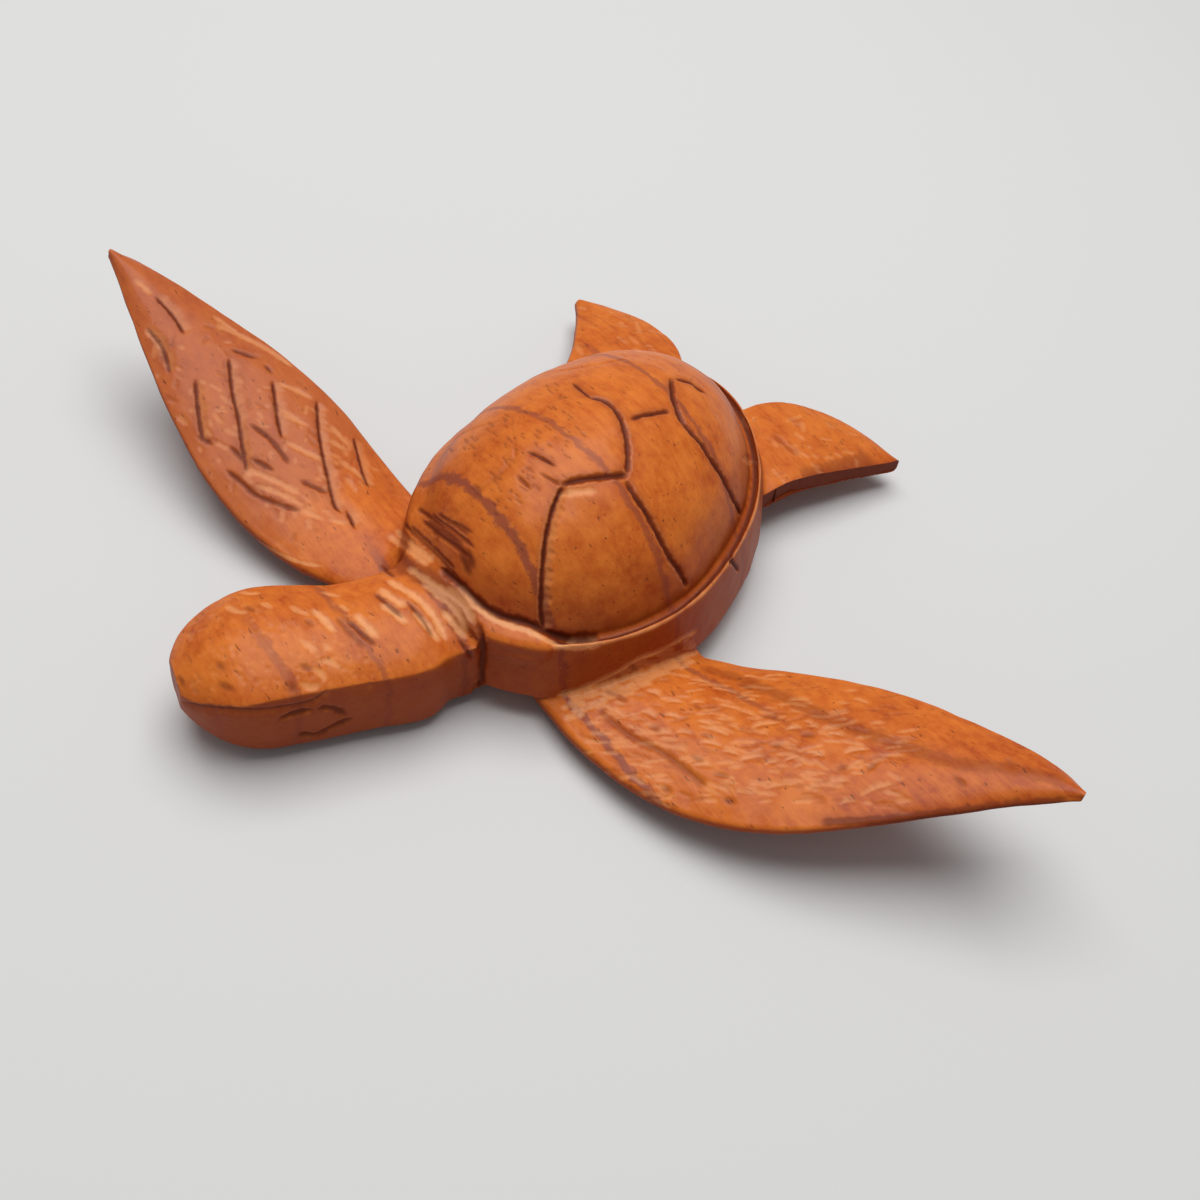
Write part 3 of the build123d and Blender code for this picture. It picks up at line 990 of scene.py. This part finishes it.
# %% Rear flippers
rear_dark = ((774, 434), (786, 446), (800, 456))
rear_shade_strip = ((786, 484), (812, 475), (842, 467), (872, 458))
rear_chops = 90
near_blade_left, near_blade_right = 745, 875
near_blade_top, near_blade_bottom = 408, 480
far_blade_left, far_blade_right = 572, 660
far_blade_top, far_blade_bottom = 305, 350

carve_all(gouge, 1.8, 0.12, [rear_dark], dark=0.5)
# A strip of painted shade beside the upright edge.
carve_all(tint, 5.0, 0, [rear_shade_strip], dark=0.28)
for number in range(rear_chops):
    if number % 3:
        x = dice.uniform(near_blade_left, near_blade_right)
        y = dice.uniform(near_blade_top, near_blade_bottom)
    else:
        x = dice.uniform(far_blade_left, far_blade_right)
        y = dice.uniform(far_blade_top, far_blade_bottom)
    heading = dice.normal(0.5, 0.35)
    length = dice.uniform(6, 15)
    chop(x, y, length, heading, (scoop, gouge), 0.55, (0.9, 1.6), (0.05, 0.14), **chop_mix)
print("marks on the rear flippers:", rear_chops)

# %% [markdown]
# All cuts are made at once, along the normals of the uncut skin, so that crossing cuts don't
# push each other aside. The rear of the shell also leans a little to the turtle's right, as the
# real one does. Light sanding takes off the steps that the fine mesh leaves. Then a look at
# each point's neighbours tells whether it lies in a hollow or on an edge: a hollow gets a
# darkening that is partly stain and partly painted shade, an edge a painted highlight. Upright
# sides get painted shade, the cut-back rear edge most of all, where the painted highlight is taken
# off.
# Last, the darkening spreads a little way from each cut into the wood round it. The material reads
# all this from four numbers on each point of the skin.

# %% Make the cuts
lean_across = -1.3
dome_lean = -0.6
hollow_depth = 0.05
soaking_rounds = round(90 * (finest_voxel / voxel) ** 2)

places -= normals * cut_depth[:, None]
places[:, 0] += lean_across * ramp(places[:, 1], 12, 38) * ramp(places[:, 2], 12.5, 17)
places[:, 0] += dome_lean * ramp(places[:, 2], 14, 24)
sand(np.full(point_count, 0.25), 2)
normals = renew_skin()
cut_places = places.copy()
sand(np.full(point_count, 0.5), 5)
hollow = ((places - cut_places) * normals).sum(axis=1)
places = cut_places
# Hollows: partly stain, partly painted shade. Edges: a painted highlight.
stain = np.maximum(stain, 0.45 * ramp(hollow, 0.5 * hollow_depth, 2.2 * hollow_depth))
painted_highlight = np.maximum(painted_highlight, 0.3 * ramp(-hollow, 0.3 * hollow_depth, 1.5 * hollow_depth))
# Painted shade on upright faces, darkest on the cut-back rear wall, which loses its painted
# highlight.
upright_shade = 1 - ramp(normals[:, 2], 0.15, 0.75)
stain = np.maximum(stain, 0.62 * rear_wall * upright_shade)
painted_highlight = painted_highlight * (1 - rear_wall * upright_shade)

# The darkening, stain and painted shade alike, spreads a little way round each mark.
first, second = ends.T
neighbours = np.bincount(ends.ravel(), minlength=point_count)
dark_halo = np.clip(stain, 0, 1)
for _ in range(soaking_rounds):
    total = np.bincount(first, dark_halo[second], point_count)
    total += np.bincount(second, dark_halo[first], point_count)
    dark_halo = np.maximum(0.5 * dark_halo + 0.5 * total / neighbours, 0.45 * stain)

for name, values in (("stain", stain), ("painted_highlight", painted_highlight), ("upright_shade", upright_shade), ("dark_halo", dark_halo)):
    attribute = skin.attributes.new(name, "FLOAT", "POINT")
    attribute.data.foreach_set("value", values.astype(np.float32))
    print(name, "mean", round(float(values.mean()), 3))

# %% [markdown]
# Now the figure is sawn apart. Each joint is known by the middle of its seat on the CAD body
# and the direction that the seat faces. The cut is a bisect along that plane, limited to the
# faces round the joint, because the plane runs on through other limbs. A face takes part if
# any of its points is near, so that the large flat face of an earlier cut isn't left out.
# Splitting the edges of the cut parts the limb, and one flat face closes each side.

# %% Saw
seat_reach = 20 * mm
saw_clearance = 0.08
joints = {
    "front_flipper_left": ((26.33, -25.96, 4.1), (0.9336, -0.3584, 0)),
    "front_flipper_right": ((-26.33, -25.96, 4.1), (-0.9336, -0.3584, 0)),
    "rear_flipper_left": ((16.74, 34.86, 8.7), (0.7071, 0.7071, 0)),
    "rear_flipper_right": ((-16.74, 34.86, 8.7), (-0.7071, 0.7071, 0)),
    "head_and_neck": ((-8.775, -41.437, 10.6), (-0.4067, -0.9135, 0)),
}


def close_cut(piece):
    """Fill the open rim of a sawn piece with a flat face."""
    pick(piece)
    bpy.ops.object.mode_set(mode="EDIT")
    bpy.context.tool_settings.mesh_select_mode = (False, True, False)
    bpy.ops.mesh.select_all(action="DESELECT")
    bpy.ops.mesh.select_non_manifold(extend=False, use_verts=False)
    bpy.ops.mesh.edge_face_add()
    bpy.ops.mesh.select_all(action="SELECT")
    bpy.ops.mesh.normals_make_consistent(inside=False)
    bpy.ops.object.mode_set(mode="OBJECT")


def saw(block, place, facing):
    """Part what lies beyond a seat plane from the block. Returns the block and the limb."""
    pick(block)
    bpy.ops.object.mode_set(mode="EDIT")
    bpy.context.tool_settings.mesh_select_mode = (False, False, True)
    bpy.ops.mesh.select_all(action="DESELECT")
    bpy.ops.object.mode_set(mode="OBJECT")
    corners = np.empty(len(block.data.loops), dtype=np.int64)
    block.data.loops.foreach_get("vertex_index", corners)
    starts = np.empty(len(block.data.polygons), dtype=np.int64)
    block.data.polygons.foreach_get("loop_start", starts)
    spots = np.empty(len(block.data.vertices) * 3)
    block.data.vertices.foreach_get("co", spots)
    within = np.linalg.norm(spots.reshape(-1, 3) - np.array(place), axis=1) < seat_reach
    near = np.logical_or.reduceat(within[corners], starts)
    block.data.polygons.foreach_set("select", near)
    bpy.ops.object.mode_set(mode="EDIT")
    bpy.context.tool_settings.mesh_select_mode = (False, True, False)
    bpy.ops.mesh.bisect(plane_co=place, plane_no=facing, threshold=weld_gap)
    bpy.ops.mesh.edge_split(type="EDGE")
    bpy.ops.mesh.separate(type="LOOSE")
    bpy.ops.object.mode_set(mode="OBJECT")
    halves = sorted(
        bpy.context.selected_objects,
        key=lambda half: (Vector(np.mean(half.bound_box, axis=0)) - place).dot(facing),
    )
    return halves[0], halves[-1]


limbs = {}
block = figure
for name, (place, facing) in joints.items():
    facing = Vector(facing)
    block, limbs[name] = saw(block, (Vector(place) + facing * saw_clearance) * mm, facing)
    close_cut(limbs[name])
    close_cut(block)
    print(name, len(limbs[name].data.vertices), "points, the rest", len(block.data.vertices))
limbs["body"] = block

# %% [markdown]
# The body's fine skin has more triangles than a part file should hold, so it is thinned. The
# collapse keeps points where the surface bends and drops them where it is flat.

# %% Thin
most_triangles = 185000

for name, piece in limbs.items():
    triangles = sum(len(face.vertices) - 2 for face in piece.data.polygons)
    if triangles > most_triangles:
        apply_modifier(piece, "DECIMATE", ratio=most_triangles / triangles)
    print(name, triangles, "triangles, now", len(piece.data.polygons), "faces")

# %% [markdown]
# Two pegs hold each joint, in blind holes on either side of it. A drill is a cylinder that
# spans the joint, and a Boolean modifier cuts it from both sides. Its numbers are its radius
# and length, how far it stands to the side of the seat's middle, and how far above it.

# %% Drill
drill_sides = 48
drills = {
    "front_flipper_left": (1.55, 17, 5, 2.0),
    "front_flipper_right": (1.55, 17, 5, 2.0),
    "rear_flipper_left": (1.3, 13, 4, 0.45),
    "rear_flipper_right": (1.3, 13, 4, 0.45),
    "head_and_neck": (2.55, 23, 6, 0.0),
}

for name, (radius, length, offset, lift) in drills.items():
    place, facing = (Vector(values) for values in joints[name])
    along = Vector((-facing.y, facing.x, 0))
    for side in (-1, 1):
        bpy.ops.object.select_all(action="DESELECT")
        bpy.ops.mesh.primitive_cylinder_add(
            vertices=drill_sides,
            radius=radius * mm,
            depth=length * mm,
            location=(place + along * offset * side + Vector((0, 0, lift))) * mm,
            rotation=facing.to_track_quat("Z", "Y").to_euler(),
        )
        drill = bpy.context.object
        for piece in (limbs["body"], limbs[name]):
            apply_modifier(
                piece, "BOOLEAN", object=drill, operation="DIFFERENCE", solver="MANIFOLD"
            )
        bpy.data.objects.remove(drill, do_unlink=True)
print("drilled for", 2 * len(drills), "pegs")

# %% [markdown]
# Where a drill leaves a very thin wall, the Boolean can lay two faces back to back on the same
# points. Such a flake has no thickness. Blender's own mesh check takes one of the two away,
# and the other hangs on open edges, so it is found by them and deleted.

# %% Clear flakes


def clear_flakes(piece):
    """Delete the loose double faces that a Boolean can leave beside a thin wall."""
    if piece.data.validate():
        pick(piece)
        bpy.ops.object.mode_set(mode="EDIT")
        bpy.context.tool_settings.mesh_select_mode = (True, False, False)
        bpy.ops.mesh.select_all(action="DESELECT")
        bpy.ops.mesh.select_non_manifold(extend=False)
        bpy.ops.mesh.delete(type="VERT")
        bpy.ops.object.mode_set(mode="OBJECT")
        print("flakes cleared from", piece.name)


for piece in limbs.values():
    clear_flakes(piece)
print("pieces looked over:", len(limbs))

# %% [markdown]
# A material is a net of nodes, but its sums read better as sums. A Channel stands for one
# output socket, and Python's signs on it add the Math nodes. A Finish holds one material and
# adds every other kind of node.

# %% Node helpers


class Channel:
    """A number, colour or vector that changes over a surface."""

    def __init__(self, finish, socket):
        self.finish = finish
        self.socket = socket

    def math(self, operation, *values):
        sockets = dict(enumerate(values))
        return self.finish.add("ShaderNodeMath", {"operation": operation}, sockets)

    def __add__(self, other):
        return self.math("ADD", self, other)

    def __sub__(self, other):
        return self.math("SUBTRACT", self, other)

    def __rsub__(self, other):
        return self.math("SUBTRACT", other, self)

    def __mul__(self, other):
        return self.math("MULTIPLY", self, other)

    __radd__ = __add__
    __rmul__ = __mul__

    def size(self):
        return self.math("ABSOLUTE", self)

    def above(self, low, high):
        """0 below low, 1 above high and even between. With high below low it falls."""
        values = dict(enumerate((self, low, high, 0.0, 1.0)))
        settings = {"interpolation_type": "SMOOTHSTEP", "clamp": True}
        if high < low:
            values = dict(enumerate((self, high, low, 1.0, 0.0)))
        return self.finish.add("ShaderNodeMapRange", settings, values)


class Finish:
    """One procedural material and its nodes."""

    def __init__(self, name):
        self.material = bpy.data.materials.new(name)
        self.material.use_nodes = True
        self.tree = self.material.node_tree
        self.shader = self.tree.nodes["Principled BSDF"]

    def add(self, kind, settings, sockets, output=0):
        """Add a node with its settings, then set or link its sockets."""
        node = self.tree.nodes.new(kind)
        for name, value in settings.items():
            setattr(node, name, value)
        self.feed(node, sockets)
        return Channel(self, node.outputs[output])

    def feed(self, node, sockets):
        for name, value in sockets.items():
            if isinstance(value, Channel):
                self.tree.links.new(value.socket, node.inputs[name])
            else:
                node.inputs[name].default_value = value

    def mix(self, share, first, second):
        """Two colours mixed by a share."""
        colours = [c if isinstance(c, Channel) else (*c, 1) for c in (first, second)]
        sockets = {0: share, 6: colours[0], 7: colours[1]}
        return self.add("ShaderNodeMix", {"data_type": "RGBA"}, sockets, 2)

    def attribute(self, name):
        return self.add("ShaderNodeAttribute", {"attribute_name": name}, {}, "Fac")

    def noise(self, vector, scale, detail=2.0, roughness=0.5):
        sockets = {"Vector": vector, "Scale": scale, "Detail": detail, "Roughness": roughness}
        return self.add("ShaderNodeTexNoise", {}, sockets)


print("node helpers ready")

# %% [markdown]
# The wood is an orange to red-brown hardwood. Its fibres run across the body, a little askew,
# and thin purple-brown growth bands stand upright in it. Because the pattern is worked out in
# space, in millimetres, it runs through all the pieces as through one block, and shows the
# bands wherever the figure is cut. Towards the tip of the far flipper the wood is browner.
# Stain with painted shade in cuts and hollows, painted highlights on facets and edges, painted
# shade on upright sides and a dark halo round the darkened places come from the numbers that the
# carving left on the skin.

# %% Stained wood
mm_per_metre = 1000
fibre_turn = radians(18.3)
fibre_stretch = (0.1, 1, 1)
fleck_stretch = (0.3, 1, 1)
deep_red = (0.25, 0.026, 0.003)
red_brown = (0.47, 0.08, 0.008)
orange = (0.68, 0.175, 0.022)
highlight_colour = (0.86, 0.38, 0.15)
band_brown = (0.24, 0.05, 0.028)
stain_and_shade_brown = (0.085, 0.012, 0.003)
far_brown = (0.43, 0.105, 0.035)

finish = Finish("stained_wood")
place = finish.add("ShaderNodeTexCoord", {}, {}, "Object")
in_grain = finish.add(
    "ShaderNodeMapping",
    {},
    {"Vector": place, "Rotation": (0, 0, fibre_turn), "Scale": (mm_per_metre,) * 3},
)
multiply = {"operation": "MULTIPLY"}
fibres = finish.add("ShaderNodeVectorMath", multiply, {0: in_grain, 1: fibre_stretch})
flecks = finish.add("ShaderNodeVectorMath", multiply, {0: in_grain, 1: fleck_stretch})

clouds = finish.noise(in_grain, 0.09, 3.0)
blotches = finish.noise(in_grain, 0.33, 3.0, 0.6)
streaks = finish.noise(fibres, 0.9, 4.0, 0.65)
fine = finish.noise(flecks, 2.4, 3.0, 0.7)
pores = finish.noise(flecks, 1.5, 2.0, 0.5).above(0.66, 0.74)

x = finish.add("ShaderNodeSeparateXYZ", {}, {0: place}, 0) * mm_per_metre
tone = clouds * 0.3 + blotches * 0.36 + streaks * 0.3 + fine * 0.14 - x.size().above(45, 90) * 0.07
colour = finish.mix(tone.above(0.25, 0.5), deep_red, red_brown)
colour = finish.mix(tone.above(0.36, 0.7), colour, orange)
colour = finish.mix(x.above(-36, -50) * 0.6, colour, far_brown)

wander = (blotches - 0.5) * 3.0 + (fine - 0.5) * 1.2
y = finish.add("ShaderNodeSeparateXYZ", {}, {0: place}, 1) * mm_per_metre + wander
bands = (
    (-29.0, -0.36, 0.5, 0.8),
    (-10.6, -0.22, 0.5, 0.6),
    (14.0, -0.30, 0.55, 0.62),
    (-42.5, -0.43, 0.6, 0.7),
    (-57.5, -0.33, 0.4, 0.5),
    (31.0, -0.30, 0.55, 0.5),
    (-72.0, -0.33, 0.7, 0.4),
)
on_body = x.above(-32, -22) * x.above(60, 40)
for start, slope, half_width, strength in bands:
    off = (y - x * slope - start).size()
    in_band = off.above(half_width + 0.5, half_width - 0.2) * on_body * strength
    colour = finish.mix(in_band, colour, band_brown)

upright_shade = finish.attribute("upright_shade")
stain_and_shade_share = finish.attribute("stain")
highlight_share = finish.attribute("painted_highlight")
# Painted shade: upright faces darker, and a dark halo round the stain and painted shade.
colour = finish.mix(upright_shade * 0.75, colour, deep_red)
colour = finish.mix(finish.attribute("dark_halo").above(0.0, 0.5) * 0.7, colour, deep_red)
colour = finish.mix(pores * 0.6, colour, stain_and_shade_brown)
# A painted highlight on facets and edges, then stain together with painted shade in cuts and
# hollows.
colour = finish.mix(highlight_share * (0.5 + fine * 0.55) * (1 - upright_shade * 0.6), colour, highlight_colour)
colour = finish.mix(stain_and_shade_share * (0.65 + blotches * 0.5), colour, stain_and_shade_brown)

height = streaks * 0.5 + fine * 0.35 + blotches * 0.6 - pores * 0.5
bump = finish.add("ShaderNodeBump", {}, {"Strength": 0.35, "Distance": 0.00018, "Height": height})
finish.feed(
    finish.shader,
    {
        "Base Color": colour,
        "Roughness": 0.4 + blotches * 0.16 + stain_and_shade_share * 0.2,
        "Specular IOR Level": 0.14,
        "Normal": bump,
        "Coat Weight": (0.15 - stain_and_shade_share * 0.1) * (1 - upright_shade * 0.8),
        "Coat Roughness": 0.2,
    },
)
wood = finish.material
print("stained wood:", len(finish.tree.nodes), "nodes")

# %% [markdown]
# The pegs are dowels of a pale, plain hardwood, left bare because glue holds best on bare
# wood. They lie inside the joints, so their finish shows only in a joint that is taken apart:
# two noises, a coarse one for fibres and a fine one for flecks, mix two pale browns.

# %% Peg wood
peg_pale = (0.72, 0.52, 0.31)
peg_dark = (0.55, 0.36, 0.19)
fibre_scale = 900
fleck_scale = 3200

peg_finish = Finish("peg_wood")
peg_place = peg_finish.add("ShaderNodeTexCoord", {}, {}, "Object")
peg_fibres = peg_finish.noise(peg_place, fibre_scale, 3.0, 0.6)
peg_flecks = peg_finish.noise(peg_place, fleck_scale, 2.0)
peg_tone = (peg_fibres * 0.6 + peg_flecks * 0.4).above(0.35, 0.65)
peg_finish.feed(
    peg_finish.shader,
    {
        "Base Color": peg_finish.mix(peg_tone, peg_dark, peg_pale),
        "Roughness": 0.6 + peg_flecks * 0.15,
    },
)
for name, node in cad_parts.items():
    if "peg" in name:
        node.data.materials.clear()
        node.data.materials.append(peg_finish.material)
print("peg wood:", len(peg_finish.tree.nodes), "nodes")

# %% [markdown]
# The carved pieces take their names, their finish and their shading: faces blend into each
# other, but the edges of the saw cuts stay sharp. Each piece rides on the figure's one body
# and stands in for the CAD node that it was carved from.

# %% Dress
sharp_angle = radians(70)

for name, piece in limbs.items():
    piece.name = "carved_" + name
    pick(piece)
    bpy.ops.object.shade_smooth_by_angle(angle=sharp_angle)
    piece.data.materials.clear()
    piece.data.materials.append(wood)
    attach(piece, "root")
    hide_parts(name)
    print(piece.name, len(piece.data.polygons), "faces")
